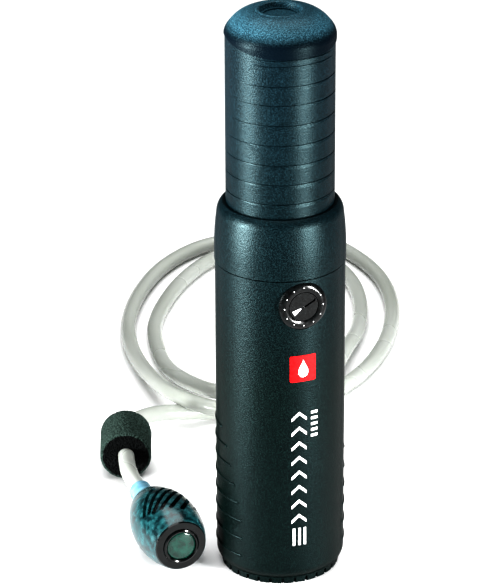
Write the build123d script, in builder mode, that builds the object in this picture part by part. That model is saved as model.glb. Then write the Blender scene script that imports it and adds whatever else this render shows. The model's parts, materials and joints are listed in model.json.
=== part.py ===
from build123d import *
import math
import os

# Hand-pumped water filter with its intake hose, float and strainer.
# Millimetres. +Z is up, the origin is the centre of the base face, and the dial faces -Y.

# ---------------------------------------------------------------- driving dimensions
BODY_R = 29.5            # lower housing, outside
BODY_WALL = 2.2
HEAD_R = 29.8            # upper housing just above the seam
HANDLE_R = 24.5
TOTAL_H = 271.0
SEAM_Z = 153.0           # joint between lower and upper housing
SEAM_GAP = 0.6
COLLAR_Z = 181.0         # top of the upper housing
STROKE = 60.0            # pump stroke
GAP = 0.3                # clearance between bodies that move past each other
RUN = 0.08               # clearance of a running fit

# base
BASE_CAP_R = 27.1
BASE_CAP_H = 3.0
BASE_NOTCHES = 30
BASE_NOTCH_IN = 2.0      # across the rim
BASE_NOTCH_W = 1.2
BASE_NOTCH_H = 2.5
BASE_RIM_BORE_R = 21.5
RECESS_R = 16.0          # finger recesses in the base
RECESS_DEPTH = 1.6
GRIP_BAR_L = 40.0
GRIP_BAR_W = 9.0
BASE_BORE_R = 24.5
BASE_SPIGOT_R = BASE_BORE_R - GAP
BASE_SPIGOT_TOP = 12.0
BASE_LEDGE_Z = 14.0
BASE_LEDGE_RISE = 2.0
BASE_GROOVE_R = 22.9
BASE_GROOVE_LOW_Z = 8.0
BASE_GROOVE_TOP_Z = 10.2
BASE_SEAL_R = 23.65
BASE_SEAL_CORD_R = 0.72
BASE_SEAL_Z = 9.1
FOOT_Z = BASE_CAP_H + GAP
FOOT_R = 27.4
FOOT_ROUND_Z = 8.0
FOOT_MID = (28.9, 5.2)   # radius and height half-way round the foot

# grip ribs on the lower housing: height, and angle from the dial side where each begins
RIBS = [(12.4, 58.8), (21.4, 57.5), (30.3, 58.6), (39.1, 62.0)]
RIBS += [(47.8, 66.2), (56.7, 71.5), (65.3, 77.4), (73.6, 86.2)]
RIB_R = 0.8
RIB_PROUD = 0.45

# reminder dial
DIAL_Z = 140.5
DIAL_R = 11.2
DIAL_FACE_Y = 30.0
DIAL_DEPTH = 2.0
POINTER_R = 6.95
DIAL_MARKS = 12
DIAL_MARK_RING_R = 9.2
DIAL_SEAT = 0.1          # gap behind the bezel
DIAL_SIDE_GAP = 0.15
DIAL_POCKET_DEPTH = 1.2
BEZEL_CROWN = 0.4        # how far the ring of the bezel is domed
BEZEL_RIM_DROP = 0.6
DIAL_MARK_R = 0.5
DIAL_MARK_DEPTH = 0.3
POINTER_BACK = 1.05      # behind the bezel face
POINTER_H = 1.15
POINTER_CHAMFER = 0.2
STUD_R = 2.0
STUD_GAP = 0.6
STUD_END_Y = 25.6
STUD_HOLE_END_Y = 20.0
CLIP_R = 4.0
CLIP_Y = 26.0
CLIP_H = 0.9
SLOT_TURN = 30.0         # coin slot, degrees above horizontal
COIN_SLOT_L = 6.4
COIN_SLOT_W = 1.7
COIN_SLOT_DEPTH = 0.6
COIN_SLOT_OUT = 3.2      # slot centre, from the dial centre
ARROW_TIP = 1.5          # arrow inlay: distances from the dial centre
ARROW_TAIL = 5.6
ARROW_TIP_W = 0.5
ARROW_TAIL_W = 2.4
ARROW_BED = 0.2
ARROW_H = 0.35
CUT = 5.0                # how far a cut runs past a face

# badge
BADGE_Z = 110.0
BADGE_W = 12.2
BADGE_H = 12.8
BADGE_THICK = 0.3
BADGE_CORNER_R = 0.6
DROP_R = 2.3             # half-width of the drop
DROP_LOW = 4.2
DROP_MID_LOW = 1.6
DROP_NECK = (1.4, 1.4)
DROP_TIP = 4.4

# head and pump
HEAD_FLOOR_Z = 163.0     # top of the bulkhead
COLLAR_BORE_R = HANDLE_R + GAP
SPIGOT_R = 27.0
SPIGOT_LOW_Z = 147.0
SPIGOT_BORE_R = 24.4
STEM_SOCKET_R = 9.0      # wall of the socket for the element's stem, inside and outside
STEM_SOCKET_OUT_R = 12.0
STEM_SOCKET_LOW_Z = 144.0
HEAD_SHOULDER_Z = 158.0
HEAD_MID = (29.45, 168.0)
HEAD_UPPER = (28.6, 176.4)
HEAD_LIP_MID = (27.7, 179.0)
HEAD_LIP_R = 26.0
HEAD_GROOVE_R = 25.5
HEAD_GROOVE_LOW_Z = 148.2
HEAD_GROOVE_TOP_Z = 150.4
HEAD_SEAL_R = 26.3
HEAD_SEAL_CORD_R = 0.78
HEAD_SEAL_Z = 149.3
BARREL_R = 13.0
BARREL_BORE_R = 11.0
BARREL_TOP_Z = 240.0
GUIDE_R = 22.0
GUIDE_BORE_R = 20.0
GUIDE_TOP_Z = 239.0
GLAND_TOP_Z = 246.0
GLAND_R = 15.5
ROD_R = 4.0
ROD_TOP_Z = 262.0
ROD_GLAND_GAP = 0.3
GLAND_SKIRT = 4.0
GLAND_FLUTES = 6
GLAND_FLUTE_R = 1.6
ROD_GROOVE_R = 6.0
ROD_GROOVE_LOW_Z = 241.9
ROD_GROOVE_TOP_Z = 244.1
ROD_SEAL_Z = 243.0
CORD_R = 0.9             # section of the rod seal and the piston ring
PISTON_GROOVE_R = 9.1
PISTON_GROOVE_LOW_Z = 169.4
PISTON_GROOVE_TOP_Z = 171.6
PISTON_RING_Z = 170.5
NUT_LOW_Z = 248.6
NUT_H = 5.2
NUT_R = 6.6
GUIDE_WEB_H = 3.0
PISTON_LOW_Z = 166.0
PISTON_TOP_Z = 175.0
HANDLE_LOW_Z = 166.0
HANDLE_BORE_R = 22.9
HANDLE_ROOF_Z = 258.0
HANDLE_BORE_TOP_Z = 252.0
HANDLE_ROOF_IN = 4.0
BOSS_R = 8.0
BOSS_LOW_Z = 253.8
WEAR_RING_UP = 0.5
WEAR_RING_H = 5.0

# handle ledges: height and half-angle each side of the dial side
LEDGES = [(252.8, 50.0), (243.5, 65.0), (234.7, 76.0), (225.3, 85.0)]
LEDGES += [(215.9, 92.5), (206.6, 101.0), (197.3, 108.0), (188.1, 114.0)]
LEDGE_DEPTH = 0.35
LEDGE_SLOPE_H = 1.6
LEDGE_REACH = 2.0
LEDGE_GROOVE_H = 0.5     # narrow groove under the overhang
LEDGE_GROOVE_DEPTH = 0.45
VISOR_Z = 255.6
VISOR_R = 25.0
VISOR_TOP_Z = 262.0
VISOR_HALF_ANGLE = 48.0
VISOR_CHAMFER = 0.4
VISOR_ROUND = 2.4
VISOR_EDGE = [(-26.0, 255.3), (-14.0, 257.0), (0.0, 260.0)]   # y and z of the visor's lower edge, front to side
VISOR_BACK_EDGE = (26.0, 261.0)
DOME_LOW = (24.4, VISOR_TOP_Z)
DOME_SHOULDER = (22.9, 264.2)
DOME_MID = (17.6, 268.9)
DOME_TOP_R = 11.0
DOME_TOP_DROP = 0.2
RIM_R = 10.2
RIM_IN_R = 9.4
RIM_IN_DROP = 0.3
DIMPLE_R = 8.5
DIMPLE_DEPTH = 2.5
PLUG_LOW_Z = 266.8
PLUG_RIM_H = 0.6
PLUG_RIM_BORE_R = 7.6

# ports in the bulkhead
INLET_PORT_R = 3.0
INLET_POCKET_R = 6.0
VALVE_FLOOR_Z = 157.0
VALVE_DISC_H = 1.2
VALVE_LIFT = 1.2
OUTLET_Y = 18.0
OUTLET_DROP_Y = 8.0
OUTLET_POCKET_R = 3.4
OUTLET_PORT_R = 1.5
CROSS_PORT_Z = 155.2
SPIGOT_Z = 159.0
OUTLET_SPIGOT_R = 3.5
OUTLET_SPIGOT_END_Y = 41.0
OUTLET_SPIGOT_TIP = 0.6
OUTLET_BORE_R = 2.0
OUTLET_ROOT_R = 3.9
OUTLET_ROOT_Y = 24.0
OUTLET_FLANGE_R = 5.0
OUTLET_FLANGE_Y = 29.9
OUTLET_FLANGE_H = 1.5
INLET_DISC_R = 4.6
OUTLET_DISC_R = 2.5
CAGE_GAP = 0.1
CAGE_BORE_R = 2.2
CAGE_HOLES = 6
CAGE_HOLE_R = 1.0
CAGE_HOLE_RING_R = 4.2

# filter element
ELEMENT_R = 21.0
ELEMENT_BORE_R = 12.0
ELEMENT_LOW_Z = 22.0
ELEMENT_TOP_Z = 122.0
ELEMENT_CAP_H = 5.0
STEM_R = 6.0
STEM_TOP_Z = 151.0
STEM_BORE_R = 3.2
STEM_GAP = 0.2
STEM_GROOVE_R = 4.9
STEM_GROOVE_LOW_Z = 148.0
STEM_GROOVE_TOP_Z = 150.0
STEM_SEAL_R = 5.5
STEM_SEAL_CORD_R = 0.6
STEM_SEAL_Z = 149.0
ELEMENT_CAP_LIP = 0.5
ELEMENT_CAP_ROUND = 1.5
CARBON_CAGE_R = 11.6
CARBON_CAGE_BORE_R = 10.4
CARBON_R = 10.3
FELT_H = 2.0
FELT_LOW_Z = ELEMENT_LOW_Z + 1.0
FELT_TOP_Z = ELEMENT_TOP_Z - 1.0
CAGE_SLOT_ROWS = 7
CAGE_SLOT_LOW_Z = 28.0
CAGE_SLOT_PITCH = 12.0
CAGE_SLOT_H = 8.0
CAGE_SLOT_SIZE = (3.0, 2.0)
CAGE_SLOTS = 8
CAGE_SLOT_RING_R = 11.0

# hose, as hand-laid route points along its centre line
HOSE_R = 4.0
HOSE_BORE_R = 2.5
NIPPLE_Z = 22.0
HOSE_START_Y = 33.0
NIPPLE_BOSS_R = 7.2
NIPPLE_BOSS_Y = 27.4
NIPPLE_BOSS_H = 2.8
NIPPLE_BORE_R = 1.5
NIPPLE_BODY_R = 4.1
NIPPLE_IN_Y = 26.4
NIPPLE_FLANGE_Y = 30.2
NIPPLE_FLANGE_R = 6.0
BARB_R = 2.4
BARB_TIP_R = 1.9
NIPPLE_END_Y = 45.0
BARB_TIP_L = 1.0
HOLE_START_Y = 20.0
FLOOR = HOSE_R
HOSE_POINTS = [
    (0, 33, 22),
    (0, 58, 22),
    (10, 84, 23),
    (24, 108, 25.5),
    (26, 137, 22),
    (24, 160, 8),
    (13, 200, FLOOR),
    (17, 232, FLOOR),
    (27, 266, FLOOR),
    (60, 314, FLOOR),
    (97, 342, FLOOR),
    (138, 328, FLOOR),
    (149, 280, FLOOR),
    (130, 221, FLOOR),
    (99, 176, 10),
    (67, 120, 15),
    (28, 115, 15),
    (0, 143, 16),
    (-1, 200, 7),
    (7, 254, FLOOR),
    (28, 299, FLOOR),
    (58, 337, FLOOR),
    (96, 357, FLOOR),
    (150, 344, FLOOR),
    (164, 294, FLOOR),
    (158, 246, FLOOR),
    (135, 196, FLOOR),
    (98, 154, FLOOR),
    (60, 140, FLOOR),
    (26, 146, FLOOR),
    (-27.6, 146, 12.5),
    (-45, 94, 12.5),
    (-50, 70, 16),
    (-50, 56.5, 16),
]
RUN_SHARE = 0.45         # part of the shorter run that each bend takes

# float
FLOAT_R = 12.5
FLOAT_L = 27.0
FLOAT_BORE_R = 4.5
FLOAT_CENTRE = (-38.8, 112.6, 12.5)
FLOAT_HEADING = (-17.4, -52.0, 0.0)
FLOAT_EDGE = 0.8

# strainer, lying along -Y
STRAINER_X = -50.0
STRAINER_Z = 16.0
THIN_END_Y = 47.5
STRAINER_FACE_Y = -2.5
STRAINER_WALL = 1.6
EGG = [(47.5, 5.3), (39.5, 10.4), (29.5, 14.2), (17.0, 15.9), (7.5, 15.1), (-2.5, 12.3)]
CONNECTOR_R = 5.3
CONNECTOR_WAIST_R = 4.9
CONNECTOR_PLUG_R = 3.6
CONNECTOR_LOW_Y = 44.0
CONNECTOR_LIP_Y = 50.0
CONNECTOR_TOP_LIP_Y = 55.0
CONNECTOR_CHAMFER = 0.4
CONNECTOR_END_Y = 56.5
CONNECTOR_BARB_Y = 61.0
SLOTS_PER_SIDE = 7
SLOT_STEP = 16.0
SLOT_CENTRE_Y = 18.5
SLOT_L = 26.0
SLOT_W = 2.0
SLOT_SLANT = 40.0
SLOT_GROUP_TURN = -10.0
SLOT_START_R = 12.0
SLOT_CUT = 8.0
RING_BORE_R = 8.7
RING_STEP_R = 10.6
RING_R = 12.2
RING_FRONT_R = 11.8
RING_BACK_Y = -1.6
RING_FRONT_Y = -3.3
CAP_BACK_Y = 3.0
CAP_R = 8.4
CAP_LIP_R = 7.8
CAP_FACE_Y = -3.9
CAP_LIP_Y = -4.2
SCREEN = [(6.2, 39.0), (6.8, 39.0), (10.0, 4.0), (9.4, 4.0)]
WEIGHT = [(1.6, 34.0), (5.2, 34.0), (8.0, 6.0), (1.6, 6.0)]
LENS_R = 7.2
LENS_EDGE_Y = -3.2
LENS_RISE = 0.9

os.makedirs("parts", exist_ok=True)


def finish(builder, name):
    """Label a finished piece and write it to its own file."""
    builder.part.label = name
    export_step(builder.part, f"parts/{name}.step")


def turned(points, mode=Mode.ADD):
    """Turn a closed outline of (radius, height) points about the body axis."""
    with BuildSketch(Plane.XZ, mode=Mode.PRIVATE) as outline:
        with BuildLine():
            Polyline(*points, close=True)
        make_face()
    revolve(outline.sketch, axis=Axis.Z, mode=mode)


def collar(outer, inner, low, high, mode=Mode.ADD):
    """A plain ring about the body axis between two heights."""
    turned([(inner, low), (outer, low), (outer, high), (inner, high)], mode=mode)


def plug(radius, low, high, mode=Mode.ADD):
    """A plain disc about the body axis between two heights."""
    turned([(0, low), (radius, low), (radius, high), (0, high)], mode=mode)


def seal_ring(ring_r, cord_r, height):
    """A round-section sealing ring about the body axis."""
    with Locations((0, 0, height)):
        Torus(ring_r, cord_r)


def rear_plane(distance, height):
    """A plane that faces away from the dial, distance behind the body axis."""
    return Plane(origin=(0, distance, height), x_dir=(1, 0, 0), z_dir=(0, 1, 0))


def facing_plane(distance, height):
    """A plane that faces the dial side, distance in front of the body axis."""
    return Plane(origin=(0, -distance, height), x_dir=(1, 0, 0), z_dir=(0, -1, 0))


# ---------------------------------------------------------------- base
with BuildPart() as base_cap:
    plug(BASE_CAP_R, 0, BASE_CAP_H)
    collar(BASE_SPIGOT_R, BASE_RIM_BORE_R, BASE_CAP_H, BASE_SPIGOT_TOP)
    # groove for the base seal
    collar(BASE_SPIGOT_R + 1, BASE_GROOVE_R, BASE_GROOVE_LOW_Z, BASE_GROOVE_TOP_Z, mode=Mode.SUBTRACT)
    # narrow notches around the rim
    with PolarLocations(BASE_CAP_R, BASE_NOTCHES):
        Box(BASE_NOTCH_IN, BASE_NOTCH_W, 2 * BASE_NOTCH_H, mode=Mode.SUBTRACT)
    # two finger recesses, with a grip bar left between them
    with BuildSketch():
        Circle(RECESS_R)
        Rectangle(GRIP_BAR_L, GRIP_BAR_W, mode=Mode.SUBTRACT)
    extrude(amount=RECESS_DEPTH, mode=Mode.SUBTRACT)
finish(base_cap, "base_cap")

with BuildPart() as base_gasket:
    seal_ring(BASE_SEAL_R, BASE_SEAL_CORD_R, BASE_SEAL_Z)
finish(base_gasket, "base_gasket")

# ---------------------------------------------------------------- lower housing
with BuildPart() as lower_housing:
    with BuildSketch(Plane.XZ):
        with BuildLine():
            Line((BASE_BORE_R, FOOT_Z), (FOOT_R, FOOT_Z))
            ThreePointArc((FOOT_R, FOOT_Z), FOOT_MID, (BODY_R, FOOT_ROUND_Z))
            Polyline(
                (BODY_R, FOOT_ROUND_Z),
                (BODY_R, SEAM_Z - SEAM_GAP / 2),
                (BODY_R - BODY_WALL, SEAM_Z - SEAM_GAP / 2),
                (BODY_R - BODY_WALL, BASE_LEDGE_Z + BASE_LEDGE_RISE),
                (BASE_BORE_R, BASE_LEDGE_Z),
                (BASE_BORE_R, FOOT_Z),
            )
        make_face()
    revolve(axis=Axis.Z)
    # raised grip ribs around the sides and back, with rounded ends
    rib_line_r = BODY_R + RIB_PROUD - RIB_R
    for rib_z, rib_angle in RIBS:
        turn = math.radians(rib_angle)
        outward = Vector(math.sin(turn), -math.cos(turn), 0)
        section = Plane(origin=(0, 0, rib_z), x_dir=outward, z_dir=outward.cross(Vector(0, 0, 1)))
        with BuildSketch(section):
            with Locations((rib_line_r, 0)):
                Circle(RIB_R)
        revolve(axis=Axis.Z, revolution_arc=360 - 2 * rib_angle)
        for side in (1, -1):
            with Locations((side * rib_line_r * math.sin(turn), -rib_line_r * math.cos(turn), rib_z)):
                Sphere(RIB_R)
    # flat boss for the inlet nipple
    with BuildSketch(rear_plane(NIPPLE_BOSS_Y, NIPPLE_Z)):
        Circle(NIPPLE_BOSS_R)
    extrude(amount=NIPPLE_BOSS_H)
    with BuildSketch(rear_plane(HOLE_START_Y, NIPPLE_Z)):
        Circle(NIPPLE_BODY_R)
    extrude(amount=HOSE_START_Y - HOLE_START_Y, mode=Mode.SUBTRACT)
    # round pocket and stud hole for the dial
    with BuildSketch(facing_plane(DIAL_FACE_Y - DIAL_DEPTH - DIAL_SEAT, DIAL_Z)):
        Circle(DIAL_R + DIAL_SIDE_GAP)
    extrude(amount=CUT, mode=Mode.SUBTRACT)
    with BuildSketch(facing_plane(STUD_HOLE_END_Y, DIAL_Z)):
        Circle(STUD_R + STUD_GAP)
    extrude(amount=DIAL_FACE_Y - STUD_HOLE_END_Y, mode=Mode.SUBTRACT)
finish(lower_housing, "lower_housing")

# ---------------------------------------------------------------- badge: a plain plate with a water drop
with BuildSketch(facing_plane(0, BADGE_Z)) as drop_outline:
    with BuildLine():
        neck_x, neck_z = DROP_NECK
        ThreePointArc((-DROP_R, -DROP_MID_LOW), (0, -DROP_LOW), (DROP_R, -DROP_MID_LOW))
        Spline((DROP_R, -DROP_MID_LOW), (neck_x, neck_z), (0, DROP_TIP), tangents=((0, 1), (-0.25, 1)))
        Spline((0, DROP_TIP), (-neck_x, neck_z), (-DROP_R, -DROP_MID_LOW), tangents=((-0.25, -1), (0, -1)))
    make_face()

with BuildPart() as badge:
    collar(BODY_R + BADGE_THICK, BODY_R, BADGE_Z - BADGE_H, BADGE_Z + BADGE_H)
    with BuildSketch(facing_plane(0, BADGE_Z)):
        RectangleRounded(BADGE_W, BADGE_H, BADGE_CORNER_R)
    extrude(amount=BODY_R + CUT, mode=Mode.INTERSECT)
    extrude(drop_outline.sketch, amount=BODY_R + CUT, mode=Mode.SUBTRACT)
finish(badge, "badge")

with BuildPart() as badge_drop:
    collar(BODY_R + BADGE_THICK, BODY_R, BADGE_Z - BADGE_H, BADGE_Z + BADGE_H)
    extrude(drop_outline.sketch, amount=BODY_R + CUT, mode=Mode.INTERSECT)
finish(badge_drop, "badge_drop")

# ---------------------------------------------------------------- reminder dial
with BuildPart() as dial_bezel:
    dial_axis = Axis((0, 0, DIAL_Z), (0, 1, 0))
    with BuildSketch(Plane(origin=(0, 0, DIAL_Z), x_dir=(1, 0, 0), z_dir=(0, 0, 1))):
        with BuildLine():
            Polyline(
                (DIAL_R, BEZEL_RIM_DROP - DIAL_FACE_Y),
                (DIAL_R, DIAL_DEPTH - DIAL_FACE_Y),
                (0, DIAL_DEPTH - DIAL_FACE_Y),
                (0, -DIAL_FACE_Y),
                (POINTER_R, -DIAL_FACE_Y),
            )
            ThreePointArc(
                (POINTER_R, -DIAL_FACE_Y),
                (DIAL_MARK_RING_R, -DIAL_FACE_Y - BEZEL_CROWN),
                (DIAL_R, BEZEL_RIM_DROP - DIAL_FACE_Y),
            )
        make_face()
    revolve(axis=dial_axis)
    with BuildSketch(facing_plane(DIAL_FACE_Y - DIAL_POCKET_DEPTH, DIAL_Z)):
        Circle(POINTER_R + DIAL_SIDE_GAP)
    extrude(amount=CUT, mode=Mode.SUBTRACT)
    with BuildSketch(facing_plane(STUD_HOLE_END_Y, DIAL_Z)):
        Circle(STUD_R + RUN)
    extrude(amount=DIAL_FACE_Y - STUD_HOLE_END_Y, mode=Mode.SUBTRACT)
    with BuildSketch(facing_plane(DIAL_FACE_Y - DIAL_MARK_DEPTH, DIAL_Z)):
        with PolarLocations(DIAL_MARK_RING_R, DIAL_MARKS):
            Circle(DIAL_MARK_R)
    extrude(amount=CUT, mode=Mode.SUBTRACT)
finish(dial_bezel, "dial_bezel")

with BuildPart() as dial_pointer:
    with BuildSketch(facing_plane(DIAL_FACE_Y - POINTER_BACK, DIAL_Z)):
        Circle(POINTER_R)
    extrude(amount=POINTER_H)
    chamfer(faces().sort_by(Axis.Y)[0].edges(), POINTER_CHAMFER)
    with BuildSketch(facing_plane(STUD_END_Y, DIAL_Z)):
        Circle(STUD_R)
    extrude(amount=DIAL_FACE_Y - POINTER_BACK - STUD_END_Y)
    # coin slot, and the shallow bed of the arrow inlay
    slot_centre = Vector(COIN_SLOT_OUT, 0, 0).rotate(Axis.Z, SLOT_TURN)
    with BuildSketch(facing_plane(DIAL_FACE_Y - COIN_SLOT_DEPTH, DIAL_Z)):
        with Locations(Location(slot_centre, SLOT_TURN)):
            SlotOverall(COIN_SLOT_L, COIN_SLOT_W)
    extrude(amount=CUT, mode=Mode.SUBTRACT)
    with BuildSketch(facing_plane(DIAL_FACE_Y - ARROW_BED, DIAL_Z)) as arrow_bed:
        with BuildLine(Location((0, 0, 0), SLOT_TURN)):
            Polyline(
                (-ARROW_TIP, ARROW_TIP_W / 2),
                (-ARROW_TAIL, ARROW_TAIL_W / 2),
                (-ARROW_TAIL, -ARROW_TAIL_W / 2),
                (-ARROW_TIP, -ARROW_TIP_W / 2),
                close=True,
            )
        make_face()
    extrude(amount=CUT, mode=Mode.SUBTRACT)
finish(dial_pointer, "dial_pointer")

with BuildPart() as dial_arrow:
    extrude(arrow_bed.sketch, amount=ARROW_H)
finish(dial_arrow, "dial_arrow")

with BuildPart() as dial_clip:
    with BuildSketch(facing_plane(CLIP_Y, DIAL_Z)):
        Circle(CLIP_R)
        Circle(STUD_R, mode=Mode.SUBTRACT)
    extrude(amount=CLIP_H)
finish(dial_clip, "dial_clip")

# ---------------------------------------------------------------- upper housing
with BuildPart() as upper_housing:
    with BuildSketch(Plane.XZ):
        with BuildLine():
            Polyline(
                (0, HEAD_FLOOR_Z),
                (0, SEAM_Z + SEAM_GAP),
                (STEM_SOCKET_R, SEAM_Z + SEAM_GAP),
                (STEM_SOCKET_R, STEM_SOCKET_LOW_Z),
                (STEM_SOCKET_OUT_R, STEM_SOCKET_LOW_Z),
                (STEM_SOCKET_OUT_R, SEAM_Z),
                (SPIGOT_BORE_R, SEAM_Z),
                (SPIGOT_BORE_R, SPIGOT_LOW_Z),
                (SPIGOT_R, SPIGOT_LOW_Z),
                (SPIGOT_R, SEAM_Z + SEAM_GAP / 2),
                (HEAD_R, SEAM_Z + SEAM_GAP / 2),
                (HEAD_R, HEAD_SHOULDER_Z),
            )
            ThreePointArc((HEAD_R, HEAD_SHOULDER_Z), HEAD_MID, HEAD_UPPER)
            ThreePointArc(HEAD_UPPER, HEAD_LIP_MID, (HEAD_LIP_R, COLLAR_Z))
            Polyline(
                (HEAD_LIP_R, COLLAR_Z),
                (COLLAR_BORE_R, COLLAR_Z),
                (COLLAR_BORE_R, HEAD_FLOOR_Z),
                (0, HEAD_FLOOR_Z),
            )
        make_face()
    revolve(axis=Axis.Z)
    # stem socket, inlet port and inlet valve pocket
    plug(STEM_R + STEM_GAP, STEM_SOCKET_LOW_Z - CUT, SEAM_Z, mode=Mode.SUBTRACT)
    plug(INLET_PORT_R, STEM_SOCKET_LOW_Z - CUT, HEAD_FLOOR_Z + CUT, mode=Mode.SUBTRACT)
    plug(INLET_POCKET_R, VALVE_FLOOR_Z, HEAD_FLOOR_Z + CUT, mode=Mode.SUBTRACT)
    # outlet: down from the barrel, across, and up into the outlet valve pocket
    with BuildSketch(Plane.XY.offset(CROSS_PORT_Z)):
        with Locations((0, OUTLET_DROP_Y)):
            Circle(OUTLET_PORT_R)
    extrude(amount=HEAD_FLOOR_Z, mode=Mode.SUBTRACT)
    with BuildSketch(Plane.XY.offset(CROSS_PORT_Z)):
        with Locations((0, OUTLET_Y)):
            Circle(OUTLET_PORT_R)
    extrude(amount=HEAD_FLOOR_Z - CROSS_PORT_Z, mode=Mode.SUBTRACT)
    with BuildSketch(Plane.XY.offset(VALVE_FLOOR_Z)):
        with Locations((0, OUTLET_Y)):
            Circle(OUTLET_POCKET_R)
    extrude(amount=HEAD_FLOOR_Z, mode=Mode.SUBTRACT)
    with BuildSketch(rear_plane(OUTLET_DROP_Y, CROSS_PORT_Z)):
        Circle(OUTLET_PORT_R)
    extrude(amount=OUTLET_Y - OUTLET_DROP_Y, mode=Mode.SUBTRACT)
    with BuildSketch(rear_plane(OUTLET_Y, SPIGOT_Z)):
        Circle(OUTLET_PORT_R)
    extrude(amount=HEAD_R, mode=Mode.SUBTRACT)
    with BuildSketch(rear_plane(OUTLET_ROOT_Y, SPIGOT_Z)):
        Circle(OUTLET_ROOT_R)
    extrude(amount=HEAD_R, mode=Mode.SUBTRACT)
    # groove for the head seal
    collar(SPIGOT_R + 1, HEAD_GROOVE_R, HEAD_GROOVE_LOW_Z, HEAD_GROOVE_TOP_Z, mode=Mode.SUBTRACT)
finish(upper_housing, "upper_housing")

with BuildPart() as head_seal:
    seal_ring(HEAD_SEAL_R, HEAD_SEAL_CORD_R, HEAD_SEAL_Z)
finish(head_seal, "head_seal")

with BuildPart() as outlet_spigot:
    with BuildSketch(rear_plane(OUTLET_ROOT_Y, SPIGOT_Z)):
        Circle(OUTLET_ROOT_R)
    extrude(amount=OUTLET_FLANGE_Y - OUTLET_ROOT_Y)
    with BuildSketch(rear_plane(OUTLET_FLANGE_Y, SPIGOT_Z)):
        Circle(OUTLET_FLANGE_R)
    extrude(amount=OUTLET_FLANGE_H)
    with BuildSketch(rear_plane(OUTLET_FLANGE_Y, SPIGOT_Z)):
        Circle(OUTLET_SPIGOT_R)
    extrude(amount=OUTLET_SPIGOT_END_Y - OUTLET_FLANGE_Y)
    chamfer(faces().sort_by(Axis.Y)[-1].edges(), OUTLET_SPIGOT_TIP)
    with BuildSketch(rear_plane(OUTLET_ROOT_Y, SPIGOT_Z)):
        Circle(OUTLET_BORE_R)
    extrude(amount=OUTLET_SPIGOT_END_Y, mode=Mode.SUBTRACT)
finish(outlet_spigot, "outlet_spigot")

# ---------------------------------------------------------------- check valves
with BuildPart() as inlet_valve:
    plug(INLET_DISC_R, VALVE_FLOOR_Z, VALVE_FLOOR_Z + VALVE_DISC_H)
finish(inlet_valve, "inlet_valve")

cage_low_z = VALVE_FLOOR_Z + VALVE_DISC_H + VALVE_LIFT + CAGE_GAP
with BuildPart() as inlet_cage:
    collar(INLET_POCKET_R, CAGE_BORE_R, cage_low_z, HEAD_FLOOR_Z)
    with PolarLocations(CAGE_HOLE_RING_R, CAGE_HOLES):
        Cylinder(CAGE_HOLE_R, 2 * HEAD_FLOOR_Z, mode=Mode.SUBTRACT)
finish(inlet_cage, "inlet_cage")

with BuildPart() as outlet_valve:
    with BuildSketch(Plane.XY.offset(VALVE_FLOOR_Z)):
        with Locations((0, OUTLET_Y)):
            Circle(OUTLET_DISC_R)
    extrude(amount=VALVE_DISC_H)
finish(outlet_valve, "outlet_valve")

with BuildPart() as outlet_cage:
    with BuildSketch(Plane.XY.offset(cage_low_z)):
        with Locations((0, OUTLET_Y)):
            Circle(OUTLET_POCKET_R)
    extrude(amount=HEAD_FLOOR_Z - cage_low_z)
finish(outlet_cage, "outlet_cage")

# ---------------------------------------------------------------- filter element
with BuildPart() as ceramic_element:
    collar(ELEMENT_R, ELEMENT_BORE_R, ELEMENT_LOW_Z, ELEMENT_TOP_Z)
finish(ceramic_element, "ceramic_element")

with BuildPart() as element_cap_bottom:
    plug(ELEMENT_R + ELEMENT_CAP_LIP, ELEMENT_LOW_Z - ELEMENT_CAP_H, ELEMENT_LOW_Z)
    fillet(edges().sort_by(Axis.Z)[0], ELEMENT_CAP_ROUND)
finish(element_cap_bottom, "element_cap_bottom")

with BuildPart() as element_cap_top:
    collar(ELEMENT_R + ELEMENT_CAP_LIP, STEM_R, ELEMENT_TOP_Z, ELEMENT_TOP_Z + ELEMENT_CAP_H)
finish(element_cap_top, "element_cap_top")

with BuildPart() as element_stem:
    collar(STEM_R, STEM_BORE_R, ELEMENT_TOP_Z, STEM_TOP_Z)
    collar(STEM_R + 1, STEM_GROOVE_R, STEM_GROOVE_LOW_Z, STEM_GROOVE_TOP_Z, mode=Mode.SUBTRACT)
finish(element_stem, "element_stem")

with BuildPart() as stem_seal:
    seal_ring(STEM_SEAL_R, STEM_SEAL_CORD_R, STEM_SEAL_Z)
finish(stem_seal, "stem_seal")

with BuildPart() as carbon_cage:
    collar(CARBON_CAGE_R, CARBON_CAGE_BORE_R, FELT_LOW_Z, FELT_TOP_Z)
    for row in range(CAGE_SLOT_ROWS):
        with BuildSketch(Plane.XY.offset(CAGE_SLOT_LOW_Z + CAGE_SLOT_PITCH * row)):
            with PolarLocations(CAGE_SLOT_RING_R, CAGE_SLOTS):
                Rectangle(*CAGE_SLOT_SIZE)
        extrude(amount=CAGE_SLOT_H, mode=Mode.SUBTRACT)
finish(carbon_cage, "carbon_cage")

with BuildPart() as carbon_bed:
    plug(CARBON_R, FELT_LOW_Z + FELT_H, FELT_TOP_Z - FELT_H)
finish(carbon_bed, "carbon_bed")

with BuildPart() as felt_disc_lower:
    plug(CARBON_R, FELT_LOW_Z, FELT_LOW_Z + FELT_H)
finish(felt_disc_lower, "felt_disc_lower")

with BuildPart() as felt_disc_upper:
    plug(CARBON_R, FELT_TOP_Z - FELT_H, FELT_TOP_Z)
finish(felt_disc_upper, "felt_disc_upper")

# ---------------------------------------------------------------- pump
with BuildPart() as pump_barrel:
    collar(BARREL_R, BARREL_BORE_R, HEAD_FLOOR_Z, BARREL_TOP_Z)
finish(pump_barrel, "pump_barrel")

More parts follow.
